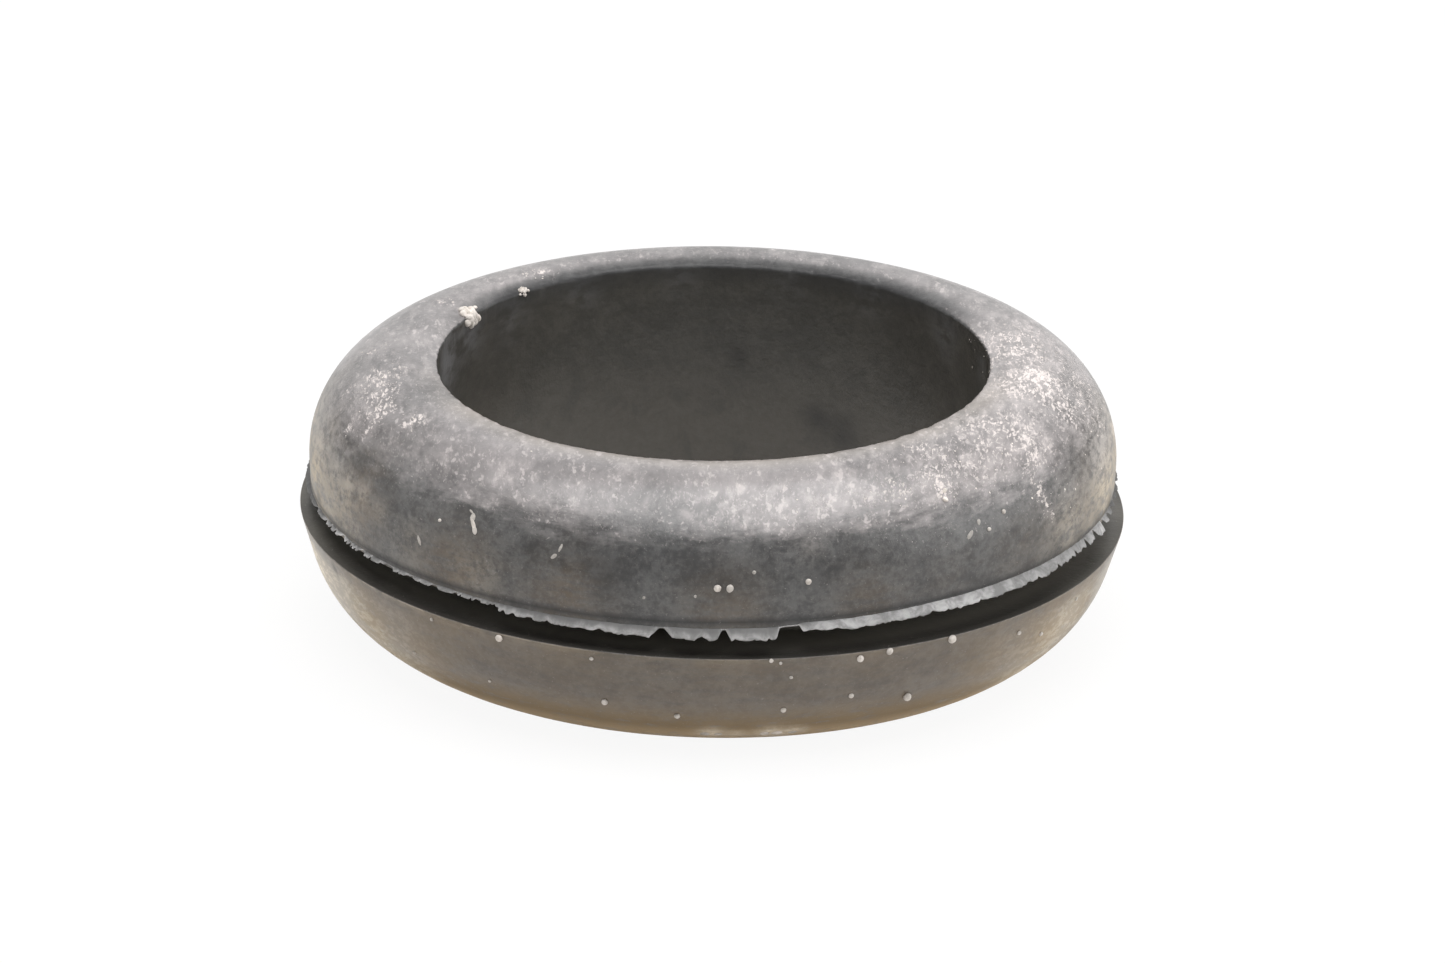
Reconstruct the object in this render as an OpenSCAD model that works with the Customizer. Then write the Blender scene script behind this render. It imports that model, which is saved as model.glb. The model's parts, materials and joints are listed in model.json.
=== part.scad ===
// Rubber panel grommet: one moulding, made of two rounded flanges on a
// short neck with a straight bore. A panel's edge sits in the groove
// between the flanges. Millimetres, +Z up, origin at the centre of the
// ring that the grommet rests on, with the bore along Z.

/* [Bore and groove] */
// Diameter of the straight bore
bore_d = 25.4; // [23:0.1:26]
// Diameter of the neck, which is the floor of the groove
neck_d = 31.8; // [29:0.1:34]
// Width of the groove, as moulded, at the neck
groove_w = 1.2; // [0.9:0.1:3]

/* [Lower flange] */
// Diameter across the rim, which is the widest part of the grommet
lower_d = 38.3; // [38:0.1:42]
// Height from the resting ring up to the groove
lower_h = 5.7; // [5:0.1:7]
// Radius of the rounded section
lower_round_r = 5.7; // [5.2:0.1:6.2]
// Angle from upright at which the side falls inwards below the rim
lower_side_angle = 17.3; // [10:0.1:25]
// How much of the round is flattened away where the grommet rests
rest_flat = 0.18; // [0.05:0.01:0.4]

/* [Upper flange] */
// Diameter at the widest part of the round
upper_d = 37.4; // [35:0.1:37.6]
// Height from the groove up to the crown
upper_h = 6.0; // [5.2:0.1:7]
// Radius of the rounded section
upper_round_r = 4.6; // [4.2:0.1:5]
// Angle from upright at which the side falls inwards below the round
upper_side_angle = 2; // [0:0.5:6]
// Angle of the set that the upper flange has taken, with its +X side high
upper_lean = 0.8; // [0:0.1:1.5]

/* [Moulding flash] */
// Reach of the fin of flash beyond the upper flange's lower edge, where it is longest
flash_reach = 0.45; // [0.3:0.01:0.6]
// Thickness of the fin
flash_t = 0.16; // [0.1:0.01:0.25]
// Height above the flange's lower edge at which the fin leaves the round
flash_seat = 0.05; // [0.02:0.01:0.15]
// Angle at which the fin hangs below level
flash_droop = 40; // [10:1:50]
// Depth of the small teeth that trimming left, as a share of the fin's reach
flash_tooth = 0.2; // [0:0.01:0.3]
// Number of corners along the torn edge
flash_corners = 360; // [180:20:480]

/* [Hidden] */

$fn = 160;

bore_r = bore_d / 2;
neck_r = neck_d / 2;
lower_r = lower_d / 2;
upper_r = upper_d / 2;

// Overshoot of every cut, and the depth to which joined solids overlap
over = 1;
core_r = bore_r - over;
groove_top = lower_h + groove_w;
crown_z = groove_top + upper_h;

// Centre of the lower round: it touches the sloping side under the rim,
// and its lowest point lies rest_flat below the resting ring.
lower_c_z = lower_round_r - rest_flat;
lower_c_r = lower_r - (lower_round_r + (lower_h - lower_c_z) * sin(lower_side_angle))
                      / cos(lower_side_angle);
// Where the sloping side runs into the round
side_end = [lower_c_r + lower_round_r * cos(lower_side_angle),
            lower_c_z - lower_round_r * sin(lower_side_angle)];

// Centre of the upper round, measured from the top of the groove
upper_c_r = upper_r - upper_round_r;
upper_c_z = upper_h - upper_round_r;
// The side's line ends a little way inside the round, so that it cuts the round
side_sink = 0.012;
side_r = upper_r - side_sink;
// Radius at the lower edge of the upper flange, where the flash starts
edge_r = side_r - upper_c_z * tan(upper_side_angle);

// How much of the fin trimming left: direction, from +X towards +Y, and share of its reach
lengths = [
    [-180, 0.9], [-174, 0.75], [-168, 0.4], [-160, 0.2], [-124, 0.3], [-119, 0.7],
    [-102, 0.78], [-94, 0.98], [-81, 0.98], [-77, 0.6], [-70, 0.82], [-62, 0.78],
    [-50, 0.9], [-38, 0.85], [-24, 0.8], [-20, 0.9], [-12, 0.65], [0, 0.6],
    [12, 0.4], [30, 0.6], [60, 0.7], [100, 0.5], [140, 0.6], [180, 0.9]
];
// Places where the flash is torn: direction, half width and share lost
tears = [
    [-155, 2, 0.4], [-139, 2, 0.5], [-110, 1, 0.4], [-96, 1, 0.8],
    [-91, 1, 0.35], [-87.5, 1, 0.8], [-79, 1.5, 1.0], [-58, 1, 0.3],
    [-20, 1, 0.5], [-15, 1, 0.9], [-10, 1, 0.9], [24, 3, 0.7],
    [63, 2, 0.6], [101, 5, 0.5], [148, 3, 0.8]
];
// One uneven length for each corner of the torn edge, from -1 to 1
tooth_seed = 7;
teeth = rands(-1, 1, flash_corners, tooth_seed);

// Share of the flash that is left in direction a, between two tears
function kept(a) = min([for (t = tears) abs(a - t[0]) < t[1] ? 1 - t[2] : 1]);

// Reach of the flash in direction a, before it was torn
function trimmed_reach(a) = flash_reach * lookup(a, lengths);

// Corner number i of the torn edge
function torn_corner(i) =
    let (a = -180 + 360 * i / flash_corners)
    let (reach = trimmed_reach(a) * kept(a) * (1 + flash_tooth * teeth[i]))
    (edge_r + reach) * [cos(a), sin(a)];

// The lower flange's section, cut level at the groove and where it rests
module lower_section() {
    intersection() {
        translate([lower_c_r, lower_c_z]) circle(r = lower_round_r);
        translate([core_r, 0]) square([lower_r, lower_h]);
    }
    polygon([[core_r, lower_h], [lower_r, lower_h], side_end, [core_r, side_end[1]]]);
}

// The upper flange's section, standing on the top of the groove
module upper_section() {
    intersection() {
        translate([upper_c_r, upper_c_z]) circle(r = upper_round_r);
        translate([core_r, 0]) square([upper_r, upper_h + over]);
    }
    polygon([[core_r, 0], [edge_r, 0], [side_r, upper_c_z], [core_r, upper_c_z]]);
}

// A full fin of flash: a thin skirt that hangs from the flange's edge
module whole_fin() {
    root_r = edge_r - over;
    tip_r = edge_r + flash_reach * (1 + flash_tooth) + over;
    fall = tan(flash_droop);
    rise = flash_t / cos(flash_droop);
    root_z = flash_seat + (edge_r - root_r) * fall;
    tip_z = flash_seat + (edge_r - tip_r) * fall;
    rotate_extrude() polygon([
        [root_r, root_z], [tip_r, tip_z], [tip_r, tip_z + rise], [root_r, root_z + rise]
    ]);
}

// The fin as it is left, with a ragged edge and pieces torn out
module flash() {
    intersection() {
        whole_fin();
        translate([0, 0, -upper_h / 2]) linear_extrude(upper_h)
            polygon([for (i = [0 : flash_corners - 1]) torn_corner(i)]);
    }
}

module grommet() {
    color([0.27, 0.27, 0.26])
    difference() {
        union() {
            rotate_extrude() lower_section();
            translate([0, 0, lower_h - over]) cylinder(r = neck_r, h = groove_w + 2 * over);
            translate([0, 0, groove_top]) rotate([0, -upper_lean, 0]) {
                rotate_extrude() upper_section();
                flash();
            }
        }
        translate([0, 0, -over]) cylinder(r = bore_r, h = crown_z + 3 * over);
    }
}

grommet();
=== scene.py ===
"""An aged rubber panel grommet with torn moulding flash, on a pale studio floor."""
import json
import math
import random

import bpy
import numpy as np
from mathutils import Matrix, Vector, noise
from mathutils.bvhtree import BVHTree


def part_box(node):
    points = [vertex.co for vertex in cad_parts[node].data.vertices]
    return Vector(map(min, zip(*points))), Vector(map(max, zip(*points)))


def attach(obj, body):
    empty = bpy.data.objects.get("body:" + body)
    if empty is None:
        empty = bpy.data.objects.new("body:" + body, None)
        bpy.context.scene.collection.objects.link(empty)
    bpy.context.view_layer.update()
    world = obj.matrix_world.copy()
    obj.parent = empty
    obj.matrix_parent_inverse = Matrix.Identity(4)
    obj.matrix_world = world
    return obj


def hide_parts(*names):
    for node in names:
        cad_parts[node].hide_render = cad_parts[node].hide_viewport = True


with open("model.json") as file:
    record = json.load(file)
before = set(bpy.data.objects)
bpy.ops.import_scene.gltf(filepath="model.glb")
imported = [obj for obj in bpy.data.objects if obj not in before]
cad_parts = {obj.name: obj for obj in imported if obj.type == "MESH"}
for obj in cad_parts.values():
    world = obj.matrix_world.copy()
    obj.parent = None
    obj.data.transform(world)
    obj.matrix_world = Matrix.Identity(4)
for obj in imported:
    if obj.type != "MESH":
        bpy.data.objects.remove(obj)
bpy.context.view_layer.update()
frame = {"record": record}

# ---------------------------------------------------------------------------
# The moulding: two rounded flanges on a short neck, round a straight bore.
# It is compression moulded in one piece from black rubber, and the upper
# flange has taken a slight set, so that its +X side stands high.
# ---------------------------------------------------------------------------

MM = 0.001
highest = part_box("grommet")[1]
bore_mount = next(m for m in frame["record"]["mounts"] if m["name"] == "bore")

# Sizes in millimetres, as (radius, height) in the moulding's section
bore_r = bore_mount["dims"]["r_mm"]
rim_r = highest.x / MM
neck_r = 15.9
lower_h = 5.7
groove_top = 6.9
lower_round = {"centre": (13.14, 5.52), "radius": 5.7}
side_angle = 17.3
upper_round = {"centre": (14.1, 8.3), "radius": 4.6}
upper_side_angle = 2
lean = math.radians(0.8)


def arc(centre, radius, start, end):
    """Points along an arc, from one angle in degrees to another."""
    angles = np.radians(np.linspace(start, end, 181))
    return np.column_stack([centre[0] + radius * np.cos(angles), centre[1] + radius * np.sin(angles)])


def resampled(stroke, cut_start, cut_end, step):
    """Even points along a stroke, with a little cut off each end."""
    stroke = np.array(stroke)
    lengths = np.linalg.norm(np.diff(stroke, axis=0), axis=1)
    reach = np.concatenate([[0], np.cumsum(lengths)])
    span = reach[-1] - cut_start - cut_end
    marks = np.linspace(cut_start, reach[-1] - cut_end, max(1, round(span / step)) + 1)
    return np.column_stack([np.interp(marks, reach, stroke[:, axis]) for axis in (0, 1)])


def closed_section(strokes, corner_points=4):
    """A closed outline from strokes that meet at corners, each corner eased round.

    A stroke is (points, step between points, length eased off at its end)."""
    outline = []
    for number, (stroke, step, ease_end) in enumerate(strokes):
        ease_start = strokes[number - 1][2]
        after, _, _ = strokes[(number + 1) % len(strokes)]
        here = resampled(stroke, ease_start, ease_end, step)
        corner = np.array(stroke[-1])
        ahead = resampled(after, ease_end, 0, step)[0]
        outline.extend(here)
        for share in np.linspace(0, 1, corner_points + 2)[1:-1]:
            outline.append((1 - share) ** 2 * here[-1] + 2 * share * (1 - share) * corner
                           + share ** 2 * ahead)
    return np.array(outline)


def circle_height(circle, radius):
    """How far above or below a round's centre it is at this radius."""
    return math.sqrt(circle["radius"] ** 2 - (radius - circle["centre"][0]) ** 2)


def circle_angle(circle, point):
    """Direction in degrees from a round's centre to a point of the section."""
    return math.degrees(math.atan2(point[1] - circle["centre"][1], point[0] - circle["centre"][0]))


bore_edge = (bore_r, upper_round["centre"][1] + circle_height(upper_round, bore_r))
upper_side = arc(**upper_round, start=-upper_side_angle, end=-upper_side_angle)[0]
under_r = upper_side[0] - (upper_side[1] - groove_top) * math.tan(math.radians(upper_side_angle))
under_edge = (under_r, groove_top)
rest_fall = lower_round["centre"][1]
rest_r = lower_round["centre"][0] + math.sqrt(lower_round["radius"] ** 2 - rest_fall ** 2)
side_end = arc(lower_round["centre"], lower_round["radius"], -side_angle, -side_angle)[0]

section = closed_section([
    ([(neck_r, groove_top), (neck_r, lower_h)], 0.5, 0.12),
    ([(neck_r, lower_h), (rim_r, lower_h)], 0.55, 0.12),
    ([(rim_r, lower_h), side_end], 0.42, 0.1),
    (arc(**lower_round, start=-side_angle, end=circle_angle(lower_round, (rest_r, 0))), 0.4, 0.25),
    ([(rest_r, 0), (bore_r, 0)], 0.5, 0.12),
    ([(bore_r, 0), bore_edge], 0.9, 0.2),
    (np.vstack([arc(**upper_round, start=circle_angle(upper_round, bore_edge), end=-upper_side_angle),
                under_edge]), 0.29, 0.06),
    ([under_edge, (neck_r, groove_top)], 0.7, 0.12),
])


def node(tree, kind, inputs=None, **settings):
    """Adds a node, sets its properties, and links its inputs or gives them values."""
    made = tree.nodes.new(kind)
    for name, value in settings.items():
        setattr(made, name, value)
    for key, value in (inputs or {}).items():
        if isinstance(value, bpy.types.NodeSocket):
            tree.links.new(value, made.inputs[key])
        else:
            made.inputs[key].default_value = value
    return made


def maths(tree, operation, *values):
    """The result of a Math node, from sockets or numbers."""
    return node(tree, "ShaderNodeMath", dict(enumerate(values)), operation=operation).outputs[0]


def times(tree, first, *rest):
    """Values multiplied one after the other."""
    for value in rest:
        first = maths(tree, "MULTIPLY", first, value)
    return first


def most(tree, first, *rest):
    """The greatest of several values."""
    for value in rest:
        first = maths(tree, "MAXIMUM", first, value)
    return first


def remainder(tree, share):
    """What a share leaves of the whole."""
    return maths(tree, "SUBTRACT", 1.0, share)


def summed(tree, *parts):
    """The sum of values, each taken by its share."""
    total, *others = (times(tree, value, share) for value, share in parts)
    for part in others:
        total = maths(tree, "ADD", total, part)
    return total


def vector_maths(tree, operation, *values):
    """The vector that a Vector Math node gives, from sockets or vectors."""
    return node(tree, "ShaderNodeVectorMath", dict(enumerate(values)), operation=operation).outputs[0]


def scaled(tree, vector, factor):
    """A vector made longer or shorter."""
    return node(tree, "ShaderNodeVectorMath", {0: vector, "Scale": factor}, operation="SCALE").outputs[0]


def parts_of(tree, vector):
    """The X, Y and Z of a vector, by name."""
    return node(tree, "ShaderNodeSeparateXYZ", {0: vector}).outputs


def ramp(tree, value, low, high, start=0.0, end=1.0, smooth=True):
    """A value taken from one range to another, held at both ends."""
    inputs = {"Value": value, "From Min": low, "From Max": high, "To Min": start, "To Max": end}
    style = "SMOOTHSTEP" if smooth else "LINEAR"
    return node(tree, "ShaderNodeMapRange", inputs, interpolation_type=style).outputs[0]


def noise_value(tree, vector, scale, detail=2.0, roughness=0.5, distortion=0.0):
    """A noise texture's value, read at a mesh's own points where vector is None."""
    inputs = {"Scale": scale, "Detail": detail, "Roughness": roughness, "Distortion": distortion}
    if vector is not None:
        inputs["Vector"] = vector
    return node(tree, "ShaderNodeTexNoise", inputs).outputs[0]


def mesh_mark(tree, name, data_type="FLOAT"):
    """The value that a mesh stores under a name, in a Geometry Nodes tree."""
    return node(tree, "GeometryNodeInputNamedAttribute", {"Name": name}, data_type=data_type).outputs[0]


def new_tree(name, kind, inputs, outputs):
    """A node tree with named inputs and outputs, as (tree, input node, output node)."""
    tree = bpy.data.node_groups.new(name, kind)
    for in_out, sockets in (("INPUT", inputs), ("OUTPUT", outputs)):
        for label, socket_type in sockets.items():
            tree.interface.new_socket(label, in_out=in_out, socket_type="NodeSocket" + socket_type)
    return tree, tree.nodes.new("NodeGroupInput"), tree.nodes.new("NodeGroupOutput")


def finished_piece(name, mesh, tree, values):
    """Runs a tree on a mesh with these named values, and keeps the result as a plain mesh."""
    piece = bpy.data.objects.new(name, mesh)
    bpy.context.scene.collection.objects.link(piece)
    modifier = piece.modifiers.new(tree.name, "NODES")
    modifier.node_group = tree
    for socket in tree.interface.items_tree:
        if socket.in_out == "INPUT" and socket.name in values:
            modifier[socket.identifier] = values[socket.name]
    bpy.context.view_layer.update()
    graph = bpy.context.evaluated_depsgraph_get()
    result = bpy.data.meshes.new_from_object(
        piece.evaluated_get(graph), preserve_all_data_layers=True, depsgraph=graph)
    piece.modifiers.remove(modifier)
    piece.data = result
    result.name = name
    return piece


def finish_tree(tree, geometry, material, end):
    """Ends a tree: instances made real, the material set, and the result put out."""
    real = node(tree, "GeometryNodeRealizeInstances", {"Geometry": geometry}).outputs[0]
    painted = node(tree, "GeometryNodeSetMaterial", {"Geometry": real, "Material": material}).outputs[0]
    tree.links.new(painted, end.inputs[0])


# The upper flange's set: what lies above the groove turns about the groove's top
lean_tree, given, end = new_tree(
    "upper_flange_set", "GeometryNodeTree",
    {"Geometry": "Geometry", "Lean": "Float", "Set From": "Float", "Set Full": "Float"},
    {"Geometry": "Geometry"})
place = node(lean_tree, "GeometryNodeInputPosition").outputs[0]
share = ramp(lean_tree, parts_of(lean_tree, place)["Z"],
             given.outputs["Set From"], given.outputs["Set Full"], smooth=False)
pivot = node(lean_tree, "ShaderNodeCombineXYZ", {"Z": given.outputs["Set Full"]}).outputs[0]
turned = node(lean_tree, "ShaderNodeVectorRotate", {
    "Vector": place, "Center": pivot, "Axis": (0, -1, 0),
    "Angle": times(lean_tree, share, given.outputs["Lean"])}).outputs[0]
leaned = node(lean_tree, "GeometryNodeSetPosition",
              {"Geometry": given.outputs["Geometry"], "Position": turned}).outputs[0]
lean_tree.links.new(leaned, end.inputs[0])


def add_lean(tree, geometry):
    """Places the upper flange's set in another tree."""
    group = tree.nodes.new("GeometryNodeGroup")
    group.node_tree = lean_tree
    group.inputs["Lean"].default_value = lean
    group.inputs["Set From"].default_value = lower_h * MM
    group.inputs["Set Full"].default_value = groove_top * MM
    tree.links.new(geometry, group.inputs["Geometry"])
    return group.outputs[0]


# The section swept round the bore, made slightly uneven, then leaned
sweep_tree, given, end = new_tree(
    "moulding_sweep", "GeometryNodeTree",
    {"Section": "Geometry", "Segments": "Int", "Path Radius": "Float", "Wave Depth": "Float",
     "Wave Scale": "Float", "Dimple Depth": "Float", "Dimple Scale": "Float", "Nibble Depth": "Float",
     "Nibble Scale": "Float", "Material": "Material"},
    {"Geometry": "Geometry"})
outline = node(sweep_tree, "GeometryNodeMeshToCurve", {0: given.outputs["Section"]}).outputs[0]
path = node(sweep_tree, "GeometryNodeCurvePrimitiveCircle", {
    "Resolution": given.outputs["Segments"], "Radius": given.outputs["Path Radius"]}).outputs[0]
upright = node(sweep_tree, "GeometryNodeSetCurveNormal", {0: path}, mode="Z_UP").outputs[0]
swept = node(sweep_tree, "GeometryNodeCurveToMesh", {"Curve": upright, "Profile Curve": outline}).outputs[0]
normal = node(sweep_tree, "GeometryNodeInputNormal").outputs[0]
wave = noise_value(sweep_tree, None, given.outputs["Wave Scale"], detail=1.0)
dimple = noise_value(sweep_tree, None, given.outputs["Dimple Scale"], detail=2.0)
nibble = noise_value(sweep_tree, None, given.outputs["Nibble Scale"], detail=3.0)
nibble = times(sweep_tree, ramp(sweep_tree, nibble, 0.42, 0.72), mesh_mark(sweep_tree, "bore_edge"))
sunk = summed(sweep_tree, (wave, given.outputs["Wave Depth"]), (dimple, given.outputs["Dimple Depth"]),
              (nibble, given.outputs["Nibble Depth"]))
inward = scaled(sweep_tree, normal, times(sweep_tree, sunk, -1.0))
uneven = node(sweep_tree, "GeometryNodeSetPosition", {"Geometry": swept, "Offset": inward}).outputs[0]
smooth = node(sweep_tree, "GeometryNodeSetShadeSmooth",
              {"Geometry": add_lean(sweep_tree, uneven)}).outputs[0]
finish_tree(sweep_tree, smooth, given.outputs["Material"], end)

# Each point of the outline carries its way along it, and marks from 0 to 1: the crease
# above the fin, the bore's upper edge, the groove, the bore's wall, and the rim and lip
# of the lower flange
outline_mesh = bpy.data.meshes.new("moulding_section")
outline_mesh.from_pydata(
    [((r - neck_r) * MM, -z * MM, 0) for r, z in section],
    [(i, (i + 1) % len(section)) for i in range(len(section))], [])
steps = np.linalg.norm(np.diff(section, axis=0), axis=1)
hair = 0.01
edge_reach = 0.35
crease_height = groove_top + 0.34
crease_reach = 0.15
rim_reach = 0.12
lip_height = lower_h - 0.05
lip_reach = 0.06
marks = {
    "along": np.concatenate([[0], np.cumsum(steps)]) * MM,
    "crease": (np.exp(-((section[:, 1] - crease_height) / crease_reach) ** 2)
               * (section[:, 0] > under_r - 0.5)),
    "bore_edge": np.exp(-(np.linalg.norm(section - np.array(bore_edge), axis=1) / edge_reach) ** 2),
    "groove": ((section[:, 1] > lower_h - hair) & (section[:, 1] < groove_top + hair)
               & (section[:, 0] < rim_r - 0.05) & (section[:, 0] > neck_r - hair)),
    "bore": section[:, 0] < bore_r + 0.02,
    "rim": (np.exp(-(np.linalg.norm(section - np.array((rim_r, lower_h)), axis=1) / rim_reach) ** 2)
            * (section[:, 1] > lower_h - 0.04)),
    "lip": np.exp(-((section[:, 1] - lip_height) / lip_reach) ** 2) * (section[:, 0] > rim_r - 0.1),
}
for name, values in marks.items():
    mark = outline_mesh.attributes.new(name, "FLOAT", "POINT")
    mark.data.foreach_set("value", np.asarray(values, np.float32))

rubber = bpy.data.materials.new("aged_rubber")
moulding = finished_piece("moulding", outline_mesh, sweep_tree, {
    "Segments": 820, "Path Radius": neck_r * MM,
    "Wave Depth": 0.03 * MM, "Wave Scale": 90.0,
    "Dimple Depth": 0.012 * MM, "Dimple Scale": 900.0,
    "Nibble Depth": 0.05 * MM, "Nibble Scale": 1900.0, "Material": rubber})

# Where dirt lies, and where shade is painted. Each patch is (azimuth in degrees, radius,
# height, spread, strength), in millimetres. Dust lies on the top, and soil and a beige film
# cling to the sides and to the edge that it rests on. Painted shade darkens the rubber above
# the fin and in a few low places. Bare patches are rubbed free of bloom. The bore's wall has
# a haze of dust near its edge, and a few dark smudges.
patches = {}
patches["dust"] = [
    (5, 15.2, 12.8, 4.0, 0.2), (20, 16.6, 12.2, 3.0, 0.2), (-14, 14.6, 12.9, 2.8, 0.7),
    (-34, 16.4, 12.3, 3.2, 0.25), (-12, 18.3, 10.4, 2.2, 0.35), (-30, 18.2, 10.4, 2.2, 0.15),
    (12, 14.0, 13.0, 2.4, 0.6), (-45, 16.7, 12.1, 1.4, 0.4), (-75, 16.7, 12.1, 1.1, 0.25),
    (-35.5, 18.1, 10.6, 0.5, 0.7), (-35, 18.4, 9.9, 0.4, 0.85), (-34, 18.6, 9.3, 0.4, 0.85),
    (-28, 18.3, 9.9, 1.0, 0.2), (-10, 15.0, 12.8, 1.2, 0.8), (4, 14.1, 13.0, 1.1, 0.6),
    (-30, 15.2, 12.8, 1.0, 0.3), (-173, 14.3, 13.0, 0.5, 0.5), (-163, 14.2, 13.0, 0.5, 0.5),
    (177, 15.8, 12.5, 1.2, 0.6), (-171, 15.7, 12.6, 1.3, 0.85), (-164, 16.0, 12.5, 1.2, 0.85),
    (-158, 16.4, 12.3, 1.0, 0.9), (-150, 15.8, 12.6, 0.9, 0.95), (-172, 17.2, 11.7, 0.6, 0.6),
    (-161, 17.7, 11.1, 0.5, 0.85), (-156, 17.3, 11.6, 0.5, 0.8), (-172, 13.4, 12.8, 1.2, 0.15),
    (-152, 13.3, 12.8, 1.0, 0.1), (-6, 14.8, 12.8, 0.9, 0.8), (-28, 16.3, 12.3, 1.2, 0.35),
    (-32, 17.1, 11.8, 0.8, 0.55), (0, 16.7, 12.1, 1.4, 0.4), (-7, 17.2, 11.7, 1.2, 0.5),
    (-16, 16.6, 12.2, 1.2, 0.5), (-36, 15.0, 12.8, 2.4, 0.6), (2, 13.6, 12.9, 1.0, 0.5),
    (-55, 15.6, 12.6, 3.0, 0.4), (-80, 16.0, 12.5, 3.0, 0.1), (-128, 15.2, 12.6, 2.4, 0.1),
    (52, 16.0, 12.5, 1.8, 0.4), (80, 15.8, 12.6, 1.8, 0.35), (104, 16.0, 12.4, 1.8, 0.35),
    (128, 15.8, 12.4, 1.8, 0.4), (148, 16.2, 12.1, 1.8, 0.4), (-52.5, 16.5, 12.3, 0.8, 0.5),
    (-60.5, 16.6, 12.2, 0.9, 0.42), (-66.5, 16.7, 12.1, 0.8, 0.35), (-50.0, 14.7, 12.95, 0.8, 0.6),
    (-53.0, 17.2, 11.8, 0.6, 0.6), (-72.0, 16.9, 12.0, 0.6, 0.4), (127.3, 13.7, 12.85, 0.6, 0.95),
    (130.0, 13.8, 12.85, 0.55, 0.95), (151.5, 14.4, 12.85, 0.7, 0.9),
]
patches["soil"] = [
    (-150, 18.6, 9.0, 2.4, 0.7), (-166, 18.6, 9.0, 2.2, 0.7), (-128, 18.6, 7.6, 2.2, 0.85),
    (-110, 18.6, 7.6, 2.0, 0.75), (-88, 18.6, 7.6, 1.9, 0.65), (-68, 18.6, 7.6, 1.7, 0.55),
    (-55, 18.6, 7.9, 2.0, 0.2), (-40, 18.6, 8.0, 2.2, 0.4), (-22, 18.6, 8.6, 2.2, 0.6),
    (-4, 18.6, 9.0, 2.6, 0.8), (14, 18.6, 9.0, 2.4, 0.7), (40, 18.6, 8.2, 2.2, 0.5),
    (75, 18.6, 7.8, 2.2, 0.4), (110, 18.6, 8.2, 2.4, 0.5), (145, 18.6, 8.0, 2.2, 0.5),
    (175, 18.6, 9.2, 2.4, 0.7), (-147, 18.4, 3.2, 2.0, 0.75), (-134, 18.4, 2.8, 2.0, 0.4),
    (-34, 18.4, 3.4, 2.2, 0.75), (-24, 18.4, 3.8, 1.8, 0.6), (-47, 18.4, 3.2, 2.0, 0.4),
]
patches["film"] = [
    (180, 18.6, 9.0, 2.4, 0.8), (-168, 18.6, 8.6, 2.4, 0.7), (-155, 18.6, 8.0, 1.8, 0.35),
    (0, 18.6, 9.0, 2.6, 0.95), (-14, 18.6, 8.4, 2.5, 0.88), (-29, 18.6, 8.3, 1.9, 0.35),
    (170, 18.4, 3.6, 3.4, 1.0), (-166, 18.4, 3.8, 3.2, 1.0), (-152, 18.4, 3.8, 2.4, 0.4),
    (-138, 18.4, 3.6, 2.4, 0.1), (8, 18.4, 3.6, 3.2, 0.6), (-12, 18.4, 3.8, 2.8, 0.4),
    (-28, 18.4, 3.8, 2.4, 0.4), (-42, 18.4, 3.6, 2.2, 0.1), (-146, 16.8, 1.2, 2.6, 0.5),
    (-34, 16.8, 1.2, 2.4, 0.4), (-162, 18.8, 5.7, 1.6, 0.25), (-10, 18.8, 5.7, 2.0, 0.1),
    (-89.3, 16.6, 1.0, 0.6, 0.9), (-85.3, 16.6, 1.0, 0.4, 0.6), (-80.0, 16.6, 1.0, 0.65, 1.0),
    (-76.4, 16.7, 1.05, 0.5, 0.8), (-124, 18.6, 7.9, 1.3, 0.14), (-137, 18.6, 7.9, 1.2, 0.1),
    (-158, 18.5, 9.5, 0.6, 0.3), (-153, 18.5, 9.4, 0.6, 0.38), (-148.5, 18.5, 9.4, 0.6, 0.3),
    (-167, 18.6, 8.0, 0.7, 0.5), (-163, 18.6, 7.4, 0.5, 0.5), (-144, 18.6, 9.2, 0.6, 0.2),
    (-136, 18.6, 9.3, 0.7, 0.07), (-76, 18.1, 10.6, 0.7, 0.12), (180, 18.9, 5.7, 1.6, 0.85),
    (0, 18.9, 5.7, 1.5, 0.75),
]
# Patches of painted shade, above the fin and in a few other places
patches["packed"] = [
    (-66, 18.6, 7.1, 0.6, 0.3), (-58, 18.6, 7.1, 0.7, 0.5), (-49, 18.6, 7.1, 0.8, 0.8),
    (-40, 18.6, 7.1, 0.85, 0.9), (-33, 18.6, 7.1, 0.9, 0.97), (-26, 18.6, 7.1, 0.9, 0.97),
    (-19, 18.6, 7.1, 0.9, 0.97), (-12, 18.6, 7.1, 0.9, 0.97), (-5, 18.6, 7.1, 0.9, 0.9),
    (-175, 18.6, 7.1, 0.7, 0.6), (-165, 18.6, 7.1, 0.7, 0.6), (-155, 18.6, 7.1, 0.6, 0.5),
    (-154.5, 19.0, 5.2, 0.35, 0.7), (-149.5, 19.0, 5.3, 0.25, 0.4), (-104, 18.5, 9.3, 1.0, 0.45),
    (-152, 18.2, 10.5, 0.7, 0.4), (-144, 18.2, 10.3, 0.9, 0.4), (-88, 18.5, 9.2, 0.9, 0.3),
    (-75, 18.5, 9.3, 0.8, 0.3), (-60, 18.5, 9.3, 0.8, 0.25),
]
patches["haze"] = [
    (168, 12.7, 11.2, 1.6, 0.6), (154, 12.7, 11.9, 1.2, 0.45), (140, 12.7, 11.6, 1.2, 0.2),
    (120, 12.7, 12.2, 1.0, 0.25), (98, 12.7, 12.4, 0.9, 0.25), (75, 12.7, 12.4, 0.9, 0.2),
    (55, 12.7, 12.2, 0.9, 0.2), (32, 12.7, 11.8, 1.0, 0.25), (12, 12.7, 11.4, 0.8, 0.3),
]
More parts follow.
